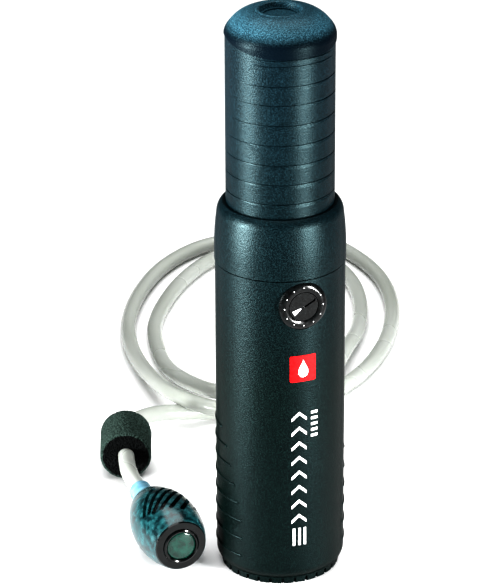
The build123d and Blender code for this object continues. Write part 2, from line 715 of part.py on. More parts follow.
with BuildPart() as guide_sleeve:
    collar(GUIDE_R, GUIDE_BORE_R, HEAD_FLOOR_Z, GUIDE_TOP_Z)
    collar(GUIDE_BORE_R, BARREL_R, GUIDE_TOP_Z - GUIDE_WEB_H, GUIDE_TOP_Z)
finish(guide_sleeve, "guide_sleeve")

with BuildPart() as gland_nut:
    plug(GLAND_R, BARREL_TOP_Z, GLAND_TOP_Z)
    plug(BARREL_BORE_R, BARREL_TOP_Z - GLAND_SKIRT, BARREL_TOP_Z)
    plug(ROD_R + ROD_GLAND_GAP, BARREL_TOP_Z - CUT, GLAND_TOP_Z + CUT, mode=Mode.SUBTRACT)
    collar(ROD_GROOVE_R, ROD_R, ROD_GROOVE_LOW_Z, ROD_GROOVE_TOP_Z, mode=Mode.SUBTRACT)
    with PolarLocations(GLAND_R, GLAND_FLUTES):
        Cylinder(GLAND_FLUTE_R, 3 * GLAND_TOP_Z, mode=Mode.SUBTRACT)
finish(gland_nut, "gland_nut")

with BuildPart() as rod_seal:
    seal_ring(ROD_R + RUN + CORD_R, CORD_R, ROD_SEAL_Z)
finish(rod_seal, "rod_seal")

with BuildPart() as piston:
    plug(BARREL_BORE_R - GAP, PISTON_LOW_Z, PISTON_TOP_Z)
    collar(BARREL_BORE_R, PISTON_GROOVE_R, PISTON_GROOVE_LOW_Z, PISTON_GROOVE_TOP_Z, mode=Mode.SUBTRACT)
finish(piston, "piston")

with BuildPart() as piston_ring:
    seal_ring(BARREL_BORE_R - RUN - CORD_R, CORD_R, PISTON_RING_Z)
finish(piston_ring, "piston_ring")

with BuildPart() as pump_rod:
    plug(ROD_R, PISTON_TOP_Z, ROD_TOP_Z)
finish(pump_rod, "pump_rod")

with BuildPart() as rod_nut:
    with BuildSketch(Plane.XY.offset(NUT_LOW_Z)):
        RegularPolygon(NUT_R, side_count=6)
        Circle(ROD_R, mode=Mode.SUBTRACT)
    extrude(amount=NUT_H)
finish(rod_nut, "rod_nut")

# the material to be taken away below the visor's curved lower edge
with BuildPart() as below_visor:
    collar(VISOR_R + 1, HANDLE_R, VISOR_Z - 1, VISOR_TOP_Z)
    with BuildSketch(Plane.YZ.offset(-2 * VISOR_R)):
        with BuildLine():
            low_z = VISOR_Z - CUT
            ThreePointArc(*VISOR_EDGE)
            Polyline(
                VISOR_EDGE[-1],
                VISOR_BACK_EDGE,
                (VISOR_BACK_EDGE[0], low_z),
                (VISOR_EDGE[0][0], low_z),
                VISOR_EDGE[0],
            )
        make_face()
    extrude(amount=4 * VISOR_R, mode=Mode.INTERSECT)

with BuildPart() as handle_sleeve:
    with BuildSketch(Plane.YZ):
        with BuildLine():
            Polyline(
                (ROD_R, ROD_TOP_Z),
                (ROD_R, BOSS_LOW_Z),
                (BOSS_R, BOSS_LOW_Z),
                (BOSS_R, HANDLE_ROOF_Z),
                (HANDLE_BORE_R - HANDLE_ROOF_IN, HANDLE_ROOF_Z),
                (HANDLE_BORE_R, HANDLE_BORE_TOP_Z),
                (HANDLE_BORE_R, HANDLE_LOW_Z),
                (HANDLE_R, HANDLE_LOW_Z),
                (HANDLE_R, VISOR_Z),
                (VISOR_R, VISOR_Z + VISOR_CHAMFER),
                (VISOR_R, VISOR_TOP_Z - VISOR_ROUND),
            )
            ThreePointArc((VISOR_R, VISOR_TOP_Z - VISOR_ROUND), DOME_LOW, DOME_SHOULDER)
            ThreePointArc(DOME_SHOULDER, DOME_MID, (DOME_TOP_R, TOTAL_H - DOME_TOP_DROP))
            ThreePointArc(
                (DOME_TOP_R, TOTAL_H - DOME_TOP_DROP),
                (RIM_R, TOTAL_H),
                (RIM_IN_R, TOTAL_H - RIM_IN_DROP),
            )
            Polyline(
                (RIM_IN_R, TOTAL_H - RIM_IN_DROP),
                (DIMPLE_R, TOTAL_H - DIMPLE_DEPTH),
                (DIMPLE_R, PLUG_LOW_Z),
                (0, PLUG_LOW_Z),
                (0, ROD_TOP_Z),
                (ROD_R, ROD_TOP_Z),
            )
        make_face()
    revolve(axis=Axis.Z)
    # shallow ledges that fade out towards the sides
    for ledge_z, half_angle in LEDGES + [(VISOR_Z, VISOR_HALF_ANGLE)]:
        front_r = HANDLE_R - LEDGE_DEPTH - LEDGE_GROOVE_DEPTH
        spread = 2 * front_r - 2 * HANDLE_R * math.cos(math.radians(half_angle))
        set_back = (HANDLE_R ** 2 - front_r ** 2) / spread
        core_r = front_r + set_back
        slope_r = core_r + LEDGE_GROOVE_DEPTH
        far_r = slope_r + LEDGE_REACH
        groove_z = ledge_z - LEDGE_GROOVE_H
        ledge_low_z = groove_z - LEDGE_REACH * LEDGE_SLOPE_H / LEDGE_DEPTH
        with BuildSketch(Plane(origin=(0, set_back, 0), x_dir=(0, 1, 0), z_dir=(1, 0, 0))):
            with BuildLine():
                Polyline(
                    (core_r, ledge_z),
                    (far_r, ledge_z),
                    (far_r, ledge_low_z),
                    (slope_r, groove_z),
                    (core_r, groove_z),
                    close=True,
                )
            make_face()
        revolve(axis=Axis((0, set_back, 0), (0, 0, 1)), mode=Mode.SUBTRACT)
    # the visor's lower edge rises from the front to the sides
    add(below_visor.part, mode=Mode.SUBTRACT)
finish(handle_sleeve, "handle_sleeve")

with BuildPart() as handle_plug:
    plug(DIMPLE_R, PLUG_LOW_Z, TOTAL_H - DIMPLE_DEPTH - PLUG_RIM_H)
    collar(DIMPLE_R, PLUG_RIM_BORE_R, TOTAL_H - DIMPLE_DEPTH - PLUG_RIM_H, TOTAL_H - DIMPLE_DEPTH)
finish(handle_plug, "handle_plug")

with BuildPart() as wear_ring:
    wear_low_z = HANDLE_LOW_Z + WEAR_RING_UP
    collar(HANDLE_BORE_R, GUIDE_R + RUN, wear_low_z, wear_low_z + WEAR_RING_H)
finish(wear_ring, "wear_ring")

# ---------------------------------------------------------------- inlet nipple and hose
with BuildPart() as inlet_nipple:
    with BuildSketch(Plane.XY):
        with BuildLine():
            Polyline(
                (NIPPLE_BORE_R, NIPPLE_IN_Y),
                (NIPPLE_BODY_R, NIPPLE_IN_Y),
                (NIPPLE_BODY_R, NIPPLE_FLANGE_Y),
                (NIPPLE_FLANGE_R, NIPPLE_FLANGE_Y),
                (NIPPLE_FLANGE_R, HOSE_START_Y),
                (BARB_R, HOSE_START_Y),
                (BARB_R, NIPPLE_END_Y - BARB_TIP_L),
                (BARB_TIP_R, NIPPLE_END_Y),
                (NIPPLE_BORE_R, NIPPLE_END_Y),
                close=True,
            )
        make_face()
    revolve(axis=Axis.Y)
    inlet_nipple.part.position = (0, 0, NIPPLE_Z)
finish(inlet_nipple, "inlet_nipple")


def bend_radii(points):
    """The radius of the bend at each inner point of the route."""
    corners = [Vector(point) for point in points]
    radii = []
    for before, corner, after in zip(corners, corners[1:], corners[2:]):
        half_turn = math.radians((corner - before).get_angle(after - corner)) / 2
        shorter = min((corner - before).length, (after - corner).length)
        radii.append(RUN_SHARE * shorter / math.tan(half_turn))
    return radii


hose_radii = bend_radii(HOSE_POINTS)
with BuildPart() as intake_hose:
    with BuildLine():
        route = FilletPolyline(*HOSE_POINTS, radius=hose_radii)
    with BuildSketch(Plane(origin=route @ 0, z_dir=route % 0)):
        Circle(HOSE_R)
        Circle(HOSE_BORE_R, mode=Mode.SUBTRACT)
    sweep()
finish(intake_hose, "intake_hose")
print("hose bend radii:", [round(radius) for radius in hose_radii])
hose_area = math.pi * (HOSE_R ** 2 - HOSE_BORE_R ** 2)
print("hose length:", round(route.length, 1), "volume / (section x length):",
      round(intake_hose.part.volume / (hose_area * route.length), 4))

# ---------------------------------------------------------------- float
with BuildPart() as foam_float:
    heading = Vector(FLOAT_HEADING).normalized()
    start = Vector(FLOAT_CENTRE) - heading * (FLOAT_L / 2)
    with BuildSketch(Plane(origin=start, z_dir=heading)):
        Circle(FLOAT_R)
    extrude(amount=FLOAT_L)
    chamfer(edges().filter_by(GeomType.CIRCLE), FLOAT_EDGE)
    with BuildSketch(Plane(origin=start, z_dir=heading)):
        Circle(FLOAT_BORE_R)
    extrude(amount=FLOAT_L, mode=Mode.SUBTRACT)
finish(foam_float, "foam_float")

# ---------------------------------------------------------------- strainer, turned about its own axis
strainer_axis = Axis((STRAINER_X, 0, STRAINER_Z), (0, 1, 0))
strainer_plane = Plane(origin=(STRAINER_X, 0, STRAINER_Z), x_dir=(1, 0, 0), z_dir=(0, 0, 1))


def strainer_turned(points, mode=Mode.ADD):
    """Turn a closed outline of (radius, y) points about the strainer's axis."""
    with BuildSketch(strainer_plane, mode=Mode.PRIVATE) as outline:
        with BuildLine():
            Polyline(*points, close=True)
        make_face()
    revolve(outline.sketch, axis=strainer_axis, mode=mode)


with BuildPart() as strainer_shell:
    outer_points = [(radius, y) for y, radius in EGG]
    inner_points = [(radius - STRAINER_WALL, y) for y, radius in EGG]
    with BuildSketch(strainer_plane):
        with BuildLine():
            Spline(*outer_points)
            Line(outer_points[-1], inner_points[-1])
            Spline(*inner_points)
            Line(inner_points[0], outer_points[0])
        make_face()
    revolve(axis=strainer_axis)
    # two groups of slanted slots, above and below
    for group in (0, 180):
        for index in range(SLOTS_PER_SIDE):
            angle = math.radians(group + SLOT_GROUP_TURN + SLOT_STEP * (index - (SLOTS_PER_SIDE - 1) / 2))
            outward = Vector(-math.sin(angle), 0, math.cos(angle))
            centre = Vector(STRAINER_X, SLOT_CENTRE_Y, STRAINER_Z) + outward * SLOT_START_R
            slot_plane = Plane(origin=centre, x_dir=(0, -1, 0), z_dir=outward)
            with BuildSketch(slot_plane.rotated((0, 0, -SLOT_SLANT))):
                SlotOverall(SLOT_L, SLOT_W)
            extrude(amount=SLOT_CUT, mode=Mode.SUBTRACT)
finish(strainer_shell, "strainer_shell")

with BuildPart() as strainer_ring:
    strainer_turned([
        (RING_BORE_R, RING_BACK_Y),
        (RING_STEP_R, RING_BACK_Y),
        (RING_STEP_R, STRAINER_FACE_Y),
        (RING_R, STRAINER_FACE_Y),
        (RING_FRONT_R, RING_FRONT_Y),
        (RING_BORE_R, RING_FRONT_Y),
    ])
finish(strainer_ring, "strainer_ring")

lens_ball_r = (LENS_R ** 2 + LENS_RISE ** 2) / (2 * LENS_RISE)
lens_mid_drop = lens_ball_r - math.sqrt(lens_ball_r ** 2 - (LENS_R / 2) ** 2)
lens_mid_y = LENS_EDGE_Y - LENS_RISE + lens_mid_drop
with BuildPart() as strainer_cap:
    with BuildSketch(strainer_plane):
        with BuildLine():
            Polyline(
                (0, CAP_BACK_Y),
                (CAP_R, CAP_BACK_Y),
                (CAP_R, CAP_FACE_Y),
                (CAP_LIP_R, CAP_LIP_Y),
                (LENS_R, CAP_FACE_Y),
                (LENS_R, LENS_EDGE_Y),
            )
            ThreePointArc((LENS_R, LENS_EDGE_Y), (LENS_R / 2, lens_mid_y), (0, LENS_EDGE_Y - LENS_RISE))
            Line((0, LENS_EDGE_Y - LENS_RISE), (0, CAP_BACK_Y))
        make_face()
    revolve(axis=strainer_axis)
finish(strainer_cap, "strainer_cap")

with BuildPart() as strainer_screen:
    strainer_turned(SCREEN)
finish(strainer_screen, "strainer_screen")

with BuildPart() as strainer_weight:
    strainer_turned(WEIGHT)
finish(strainer_weight, "strainer_weight")

with BuildPart() as hose_connector:
    strainer_turned([
        (NIPPLE_BORE_R, CONNECTOR_LOW_Y),
        (CONNECTOR_PLUG_R, CONNECTOR_LOW_Y),
        (CONNECTOR_PLUG_R, THIN_END_Y),
        (CONNECTOR_R, THIN_END_Y),
        (CONNECTOR_R, CONNECTOR_LIP_Y),
        (CONNECTOR_WAIST_R, CONNECTOR_LIP_Y + CONNECTOR_CHAMFER),
        (CONNECTOR_WAIST_R, CONNECTOR_TOP_LIP_Y - CONNECTOR_CHAMFER),
        (CONNECTOR_R, CONNECTOR_TOP_LIP_Y),
        (CONNECTOR_R, CONNECTOR_END_Y),
        (BARB_R, CONNECTOR_END_Y),
        (BARB_R, CONNECTOR_BARB_Y),
        (NIPPLE_BORE_R, CONNECTOR_BARB_Y),
    ])
finish(hose_connector, "hose_connector")
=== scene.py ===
import json
import math

import bpy
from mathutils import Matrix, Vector, noise


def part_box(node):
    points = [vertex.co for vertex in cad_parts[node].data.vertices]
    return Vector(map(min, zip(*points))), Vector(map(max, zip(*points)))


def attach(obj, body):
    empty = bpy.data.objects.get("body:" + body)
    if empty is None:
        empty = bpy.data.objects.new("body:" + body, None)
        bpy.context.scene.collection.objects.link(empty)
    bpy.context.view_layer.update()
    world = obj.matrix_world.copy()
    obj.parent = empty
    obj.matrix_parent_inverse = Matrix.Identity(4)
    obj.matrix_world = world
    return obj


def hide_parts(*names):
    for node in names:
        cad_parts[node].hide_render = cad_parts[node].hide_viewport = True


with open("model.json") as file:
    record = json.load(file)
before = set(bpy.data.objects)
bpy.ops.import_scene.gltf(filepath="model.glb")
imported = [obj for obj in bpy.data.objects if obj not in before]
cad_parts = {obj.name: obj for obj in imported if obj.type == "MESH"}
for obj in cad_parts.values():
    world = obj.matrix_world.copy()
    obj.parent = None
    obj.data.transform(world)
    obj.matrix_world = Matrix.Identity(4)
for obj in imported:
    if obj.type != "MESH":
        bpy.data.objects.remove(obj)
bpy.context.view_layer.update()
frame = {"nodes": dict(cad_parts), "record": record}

MM = 0.001
NODES = frame["nodes"]
SLOT_OF = {part["node"]: part["material_slot"] for part in frame["record"]["subparts"]}

# ---------------------------------------------------------------- materials

FINE_RELIEF = 0.00002
RAMP_FROM = 0.3
RAMP_TO = 0.7

# speckled plastic: heights in metres, colours as (place on the noise, colour)
GRAIN_SCALE = 2000.0
GRAIN_RELIEF = 0.00016
GRAIN_STRENGTH = 0.7
GRAIN_ROUGH = (0.29, 0.44)
BROAD_SCALE = 22.0
BLUER_FROM = 0.10
BLUER_TO = 0.25
BODY_GLOSS = 0.13
# painted shade: the band under the dome's overhang gets a dark colour without flecks, where its shadow
# falls
VISOR_TILT = 0.188
VISOR_LOW = 0.2600
VISOR_HIGH = 0.2622
VISOR_SOFT = 0.0008
VISOR_GLOSS = 0.05
VISOR_PAINTED_SHADE = [(0.35, (0.0008, 0.0022, 0.0040)), (0.7, (0.0014, 0.0038, 0.0065))]
# painted highlight: much paler flecks on the top of the handle's dome, where the overhead light falls
DOME_LOW = 0.2625
DOME_HIGH = 0.2660
DOME_PAINTED_HIGHLIGHT = [(0.44, (0.008, 0.024, 0.033)), (0.72, (0.044, 0.116, 0.152))]
BODY_SHEEN = (0.55, 0.90, 0.95, 1.0)
BODY_LOW = [(0.35, (0.0002, 0.0007, 0.0006)), (0.7, (0.0004, 0.0012, 0.0010))]
BODY_HIGH = [(0.35, (0.0006, 0.0022, 0.0034)), (0.7, (0.0011, 0.0037, 0.0054))]
FLECK_LOW = [(0.46, (0.0, 0.0, 0.0)), (0.72, (0.0022, 0.0070, 0.0060))]
FLECK_HIGH = [(0.44, (0.0, 0.0, 0.0)), (0.72, (0.0050, 0.0140, 0.0190))]

# how the gloss fades as the surface turns away
MATT_BLEND = 0.5
MATT_FROM = 0.35
MATT_TO = 0.75
MATT_LEFT = 0.08

HOSE_CLOUD_SCALE = 14.0
HOSE_COLOUR = [(0.3, (0.40, 0.425, 0.385)), (0.7, (0.52, 0.545, 0.515))]
FOAM_CELL_SCALE = 1100.0
FOAM_RELIEF = 0.0006
BRUSH_SCALE = 160.0
BRUSH_STRETCH = 40.0


def new_material(name):
    """An empty node material. Gives the material, its node tree and its Principled shader."""
    material = bpy.data.materials.new(name)
    material.use_nodes = True
    tree = material.node_tree
    shader = next(node for node in tree.nodes if node.type == "BSDF_PRINCIPLED")
    return material, tree, shader


def object_noise(tree, scale, detail=2.0):
    """Noise in the object's own coordinates, in cycles per metre."""
    coordinates = tree.nodes.new("ShaderNodeTexCoord")
    texture = tree.nodes.new("ShaderNodeTexNoise")
    texture.inputs["Scale"].default_value = scale
    texture.inputs["Detail"].default_value = detail
    tree.links.new(coordinates.outputs["Object"], texture.inputs["Vector"])
    return texture.outputs["Fac"]


def ramp(tree, source, stops):
    """A colour ramp over a grey source. stops are (position, colour) pairs."""
    node = tree.nodes.new("ShaderNodeValToRGB")
    elements = node.color_ramp.elements
    while len(elements) < len(stops):
        elements.new(0.5)
    for element, (position, colour) in zip(elements, stops):
        element.position = position
        element.color = (*colour, 1.0)
    tree.links.new(source, node.inputs["Fac"])
    return node.outputs["Color"]


def spread(tree, source, low, high):
    """The middle part of a grey source mapped to low..high."""
    node = tree.nodes.new("ShaderNodeMapRange")
    node.inputs["From Min"].default_value = RAMP_FROM
    node.inputs["From Max"].default_value = RAMP_TO
    node.inputs["To Min"].default_value = low
    node.inputs["To Max"].default_value = high
    tree.links.new(source, node.inputs["Value"])
    return node.outputs["Result"]


def bump(tree, shader, source, depth, strength=1.0):
    """Surface relief from a grey source. depth is in metres."""
    node = tree.nodes.new("ShaderNodeBump")
    node.inputs["Distance"].default_value = depth
    node.inputs["Strength"].default_value = strength
    tree.links.new(source, node.inputs["Height"])
    tree.links.new(node.outputs["Normal"], shader.inputs["Normal"])


def varied(name, dark, light, scale, rough=(0.35, 0.5), relief=FINE_RELIEF, detail=3.0, stops=(0.35, 0.65),
           **sockets):
    """A material whose colour, roughness and relief vary with one noise. sockets set constant inputs."""
    material, tree, shader = new_material(name)
    grain = object_noise(tree, scale, detail)
    colour = ramp(tree, grain, [(stops[0], dark), (stops[1], light)])
    tree.links.new(colour, shader.inputs["Base Color"])
    tree.links.new(spread(tree, grain, *rough), shader.inputs["Roughness"])
    bump(tree, shader, grain, relief)
    for socket, value in sockets.items():
        shader.inputs[socket.replace("_", " ")].default_value = value
    return material


def blend(tree, mode, factor, first, second):
    """Mix two colours. factor is a number or a socket."""
    mix = tree.nodes.new("ShaderNodeMix")
    mix.data_type = "RGBA"
    mix.blend_type = mode
    if isinstance(factor, float):
        mix.inputs["Factor"].default_value = factor
    else:
        tree.links.new(factor, mix.inputs["Factor"])
    tree.links.new(first, mix.inputs["A"])
    tree.links.new(second, mix.inputs["B"])
    return mix.outputs["Result"]


def height_share(tree, low, high):
    """0 below one height of the object and 1 above another, in metres."""
    coordinates = tree.nodes.new("ShaderNodeTexCoord")
    parts = tree.nodes.new("ShaderNodeSeparateXYZ")
    share = tree.nodes.new("ShaderNodeMapRange")
    share.inputs["From Min"].default_value = low
    share.inputs["From Max"].default_value = high
    tree.links.new(coordinates.outputs["Object"], parts.inputs["Vector"])
    tree.links.new(parts.outputs["Z"], share.inputs["Value"])
    return share.outputs["Result"]


def math_node(tree, operation, first, second):
    """One arithmetic step. first is a socket, second a socket or a number."""
    node = tree.nodes.new("ShaderNodeMath")
    node.operation = operation
    tree.links.new(first, node.inputs[0])
    if isinstance(second, float):
        node.inputs[1].default_value = second
    else:
        tree.links.new(second, node.inputs[1])
    return node.outputs["Value"]


def visor_share(tree):
    """1 on the band under the handle's dome where shade is painted, 0 elsewhere. Its lower edge rises
    towards the back.
    """
    coordinates = tree.nodes.new("ShaderNodeTexCoord")
    parts = tree.nodes.new("ShaderNodeSeparateXYZ")
    tree.links.new(coordinates.outputs["Object"], parts.inputs["Vector"])
    rise = math_node(tree, "MULTIPLY", parts.outputs["Y"], VISOR_TILT)
    tilted = math_node(tree, "SUBTRACT", parts.outputs["Z"], rise)
    above_edge = math_node(tree, "GREATER_THAN", tilted, VISOR_LOW)
    soft_top = tree.nodes.new("ShaderNodeMapRange")
    soft_top.inputs["From Min"].default_value = VISOR_HIGH + VISOR_SOFT
    soft_top.inputs["From Max"].default_value = VISOR_HIGH - VISOR_SOFT
    tree.links.new(parts.outputs["Z"], soft_top.inputs["Value"])
    return math_node(tree, "MULTIPLY", above_edge, soft_top.outputs["Result"])


def matt_edge(tree):
    """A share of the gloss that fades where the surface turns away, which keeps the sides dark."""
    facing = tree.nodes.new("ShaderNodeLayerWeight")
    facing.inputs["Blend"].default_value = MATT_BLEND
    fade = tree.nodes.new("ShaderNodeMapRange")
    fade.inputs["From Min"].default_value = MATT_FROM
    fade.inputs["From Max"].default_value = MATT_TO
    fade.inputs["To Min"].default_value = 1.0
    fade.inputs["To Max"].default_value = MATT_LEFT
    tree.links.new(facing.outputs["Facing"], fade.inputs["Value"])
    return fade.outputs["Result"]


def speckled_plastic(name, ground_low, ground_high, fleck_low, fleck_high):
    """Moulded plastic with a fine spark texture: dark satin ground, pale flecks, bluer towards the top,
    with a painted highlight on the dome and painted shade on the band under it.
    """
    material, tree, shader = new_material(name)
    fine = object_noise(tree, GRAIN_SCALE, 1.0)
    height = height_share(tree, BLUER_FROM, BLUER_TO)
    broad = object_noise(tree, BROAD_SCALE)
    ground = blend(tree, "MIX", height, ramp(tree, broad, ground_low), ramp(tree, broad, ground_high))
    flecks = blend(tree, "MIX", height, ramp(tree, fine, fleck_low), ramp(tree, fine, fleck_high))
    speckled = blend(tree, "ADD", 1.0, ground, flecks)
    # painted highlight on the top of the dome
    dome_highlight_share = height_share(tree, DOME_LOW, DOME_HIGH)
    speckled = blend(tree, "MIX", dome_highlight_share, speckled, ramp(tree, fine, DOME_PAINTED_HIGHLIGHT))
    band = visor_share(tree)
    # painted shade on the band under the dome
    smooth = ramp(tree, broad, VISOR_PAINTED_SHADE)
    tree.links.new(blend(tree, "MIX", band, speckled, smooth), shader.inputs["Base Color"])
    tree.links.new(spread(tree, fine, *GRAIN_ROUGH), shader.inputs["Roughness"])
    bump(tree, shader, fine, GRAIN_RELIEF, GRAIN_STRENGTH)
    gloss = tree.nodes.new("ShaderNodeMapRange")
    gloss.inputs["To Min"].default_value = BODY_GLOSS
    gloss.inputs["To Max"].default_value = VISOR_GLOSS
    tree.links.new(band, gloss.inputs["Value"])
    tree.links.new(math_node(tree, "MULTIPLY", gloss.outputs["Result"], matt_edge(tree)),
                   shader.inputs["Specular IOR Level"])
    shader.inputs["Specular IOR Level"].default_value = BODY_GLOSS
    shader.inputs["Specular Tint"].default_value = BODY_SHEEN
    return material


def hose_plastic():
    """Milky silicone: soft translucent white with a faint greenish cast and cloudy bands."""
    material, tree, shader = new_material("hose_silicone")
    cloud = object_noise(tree, HOSE_CLOUD_SCALE, 1.0)
    tree.links.new(ramp(tree, cloud, HOSE_COLOUR), shader.inputs["Base Color"])
    tree.links.new(spread(tree, cloud, 0.22, 0.3), shader.inputs["Roughness"])
    bump(tree, shader, cloud, FINE_RELIEF, 0.3)
    shader.inputs["Transmission Weight"].default_value = 0.3
    shader.inputs["Subsurface Weight"].default_value = 0.5
    shader.inputs["Subsurface Radius"].default_value = (0.004, 0.004, 0.0035)
    shader.inputs["IOR"].default_value = 1.42
    return material


def foam_material(name, pit, skin):
    """Open-cell foam: dark pits between paler cell walls."""
    material, tree, shader = new_material(name)
    coordinates = tree.nodes.new("ShaderNodeTexCoord")
    cells = tree.nodes.new("ShaderNodeTexVoronoi")
    cells.inputs["Scale"].default_value = FOAM_CELL_SCALE
    tree.links.new(coordinates.outputs["Object"], cells.inputs["Vector"])
    colour = ramp(tree, cells.outputs["Distance"], [(0.1, pit), (0.65, skin)])
    tree.links.new(colour, shader.inputs["Base Color"])
    shader.inputs["Roughness"].default_value = 0.95
    shader.inputs["Specular IOR Level"].default_value = 0.06
    bump(tree, shader, cells.outputs["Distance"], FOAM_RELIEF)
    return material


def brushed_metal(name, dark, light, rough=(0.22, 0.38)):
    """Turned or ground metal with fine lines around it."""
    material, tree, shader = new_material(name)
    coordinates = tree.nodes.new("ShaderNodeTexCoord")
    stretch = tree.nodes.new("ShaderNodeMapping")
    stretch.inputs["Scale"].default_value = (1.0, 1.0, BRUSH_STRETCH)
    lines = tree.nodes.new("ShaderNodeTexNoise")
    lines.inputs["Scale"].default_value = BRUSH_SCALE
    tree.links.new(coordinates.outputs["Object"], stretch.inputs["Vector"])
    tree.links.new(stretch.outputs["Vector"], lines.inputs["Vector"])
    colour = ramp(tree, lines.outputs["Fac"], [(RAMP_FROM, dark), (RAMP_TO, light)])
    tree.links.new(colour, shader.inputs["Base Color"])
    tree.links.new(spread(tree, lines.outputs["Fac"], *rough), shader.inputs["Roughness"])
    bump(tree, shader, lines.outputs["Fac"], FINE_RELIEF)
    shader.inputs["Metallic"].default_value = 1.0
    return material


MATERIALS = {
    "body": speckled_plastic("body_speckled", BODY_LOW, BODY_HIGH, FLECK_LOW, FLECK_HIGH),
    "base": speckled_plastic("base_speckled", BODY_LOW, BODY_HIGH, FLECK_LOW, FLECK_LOW),
    "dial": varied("dial_gloss", (0.001, 0.001, 0.001), (0.003, 0.004, 0.004), 700.0, rough=(0.12, 0.2),
                   Specular_IOR_Level=0.22),
    "dial_mark": varied("mark_white", (0.72, 0.73, 0.73), (0.86, 0.87, 0.87), 900.0, rough=(0.4, 0.55)),
    "badge": varied("badge_red", (0.50, 0.001, 0.002), (0.60, 0.003, 0.005), 500.0, rough=(0.4, 0.5),
                    Specular_IOR_Level=0.1),
    "badge_mark": varied("badge_white", (0.84, 0.84, 0.83), (0.93, 0.93, 0.92), 600.0, rough=(0.3, 0.4)),
    "seal": varied("seal_rubber", (0.006, 0.006, 0.006), (0.02, 0.02, 0.02), 900.0, rough=(0.6, 0.75)),
    "ceramic": varied("ceramic_pores", (0.62, 0.59, 0.52), (0.86, 0.83, 0.77), 1400.0, rough=(0.75, 0.9),
                      relief=0.0001),
    "end_cap": varied("end_cap_plastic", (0.02, 0.03, 0.035), (0.05, 0.065, 0.07), 600.0),
    "cage": varied("cage_plastic", (0.66, 0.67, 0.66), (0.80, 0.81, 0.80), 500.0),
    "carbon": varied("carbon_grains", (0.004, 0.004, 0.004), (0.05, 0.05, 0.05), 1600.0, rough=(0.5, 0.8),
                     relief=0.0003),
    "felt": varied("felt_fibres", (0.62, 0.61, 0.57), (0.86, 0.85, 0.81), 2200.0, rough=(0.85, 0.95),
                   relief=0.0002),
    "pump": varied("pump_plastic", (0.012, 0.020, 0.022), (0.03, 0.042, 0.045), 450.0, rough=(0.2, 0.32)),
    "rod": brushed_metal("rod_steel", (0.46, 0.47, 0.48), (0.70, 0.71, 0.72)),
    "nut": brushed_metal("nut_brass", (0.50, 0.36, 0.14), (0.78, 0.60, 0.28)),
    "screen": brushed_metal("screen_wire", (0.35, 0.36, 0.37), (0.62, 0.63, 0.64)),
    "weight": brushed_metal("weight_brass", (0.42, 0.30, 0.12), (0.70, 0.53, 0.25)),
    "connector": varied("connector_blue", (0.16, 0.36, 0.48), (0.26, 0.50, 0.62), 300.0, rough=(0.15, 0.25),
                        Transmission_Weight=0.45),
    "strainer": varied("strainer_shell", (0.001, 0.009, 0.011), (0.010, 0.060, 0.066), 330.0,
                       rough=(0.16, 0.30), stops=(0.38, 0.68)),
    "hose": hose_plastic(),
    "foam": foam_material("foam_skin", (0.003, 0.006, 0.005), (0.040, 0.064, 0.055)),
}

for node_name, node_object in NODES.items():
    node_object.data.materials.clear()
    node_object.data.materials.append(MATERIALS[SLOT_OF[node_name]])


def add_piece(name, mesh, body, slot, material=None):
    """Link a new mesh, give it a material, and let it ride on a body."""
    piece = bpy.data.objects.new(name, mesh)
    bpy.context.scene.collection.objects.link(piece)
    mesh.materials.append(material or MATERIALS[slot])
    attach(piece, body)
    return piece


def mesh_from(name, vertices, faces, smooth=False):
    """A mesh from lists of corners and faces."""
    mesh = bpy.data.meshes.new(name)
    mesh.from_pydata([tuple(v) for v in vertices], [], faces)
    mesh.update()
    if smooth:
        for polygon in mesh.polygons:
            polygon.use_smooth = True
    return mesh


# ---------------------------------------------------------------- intake hose

HOSE_D = 8 * MM
FLOOR = 4
HOSE_POINTS_MM = [
    (0, 33, 22),
    (0, 58, 22),
    (10, 84, 23),
    (24, 108, 25.5),
    (26, 137, 22),
    (24, 160, 8),
    (13, 200, FLOOR),
    (17, 232, FLOOR),
    (27, 266, FLOOR),
    (60, 314, FLOOR),
    (97, 342, FLOOR),
    (138, 328, FLOOR),
    (149, 280, FLOOR),
    (130, 221, FLOOR),
    (99, 176, 10),
    (67, 120, 15),
    (28, 115, 15),
    (0, 143, 16),
    (-1, 200, 7),
    (7, 254, FLOOR),
    (28, 299, FLOOR),
    (58, 337, FLOOR),
    (96, 357, FLOOR),
    (150, 344, FLOOR),
    (164, 294, FLOOR),
    (158, 246, FLOOR),
    (135, 196, FLOOR),
    (98, 154, FLOOR),
    (60, 140, FLOOR),
    (26, 146, FLOOR),
    (-27.6, 146, 12.5),
    (-45, 94, 12.5),
    (-50, 70, 16),
    (-50, 56.5, 16),
]
HOSE_POINTS = [Vector(point) * MM for point in HOSE_POINTS_MM]
HOSE_ROUND_STEPS = 8
HOSE_LONG_STEPS = 24


def make_hose():
    """The whole hose as one smooth curve along its route."""
    curve = bpy.data.curves.new("hose_tube", "CURVE")
    curve.dimensions = "3D"
    curve.bevel_depth = HOSE_D / 2
    curve.bevel_resolution = HOSE_ROUND_STEPS
    curve.resolution_u = HOSE_LONG_STEPS
    curve.use_fill_caps = True
    spline = curve.splines.new("NURBS")
    spline.points.add(len(HOSE_POINTS) - 1)
    for point, place in zip(spline.points, HOSE_POINTS):
        point.co = (*place, 1.0)
    spline.order_u = 3
    spline.use_endpoint_u = True
    hose = bpy.data.objects.new("hose_tube", curve)
    bpy.context.scene.collection.objects.link(hose)
    curve.materials.append(MATERIALS["hose"])
    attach(hose, "housing")
    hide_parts("intake_hose")


# ---------------------------------------------------------------- foam float

# painted shade: a near-black copy of the foam for the float's end faces, where shade falls
FOAM_END_PAINTED_SHADE = foam_material("foam_end_painted_shade", (0.001, 0.001, 0.001), (0.006, 0.007, 0.007))

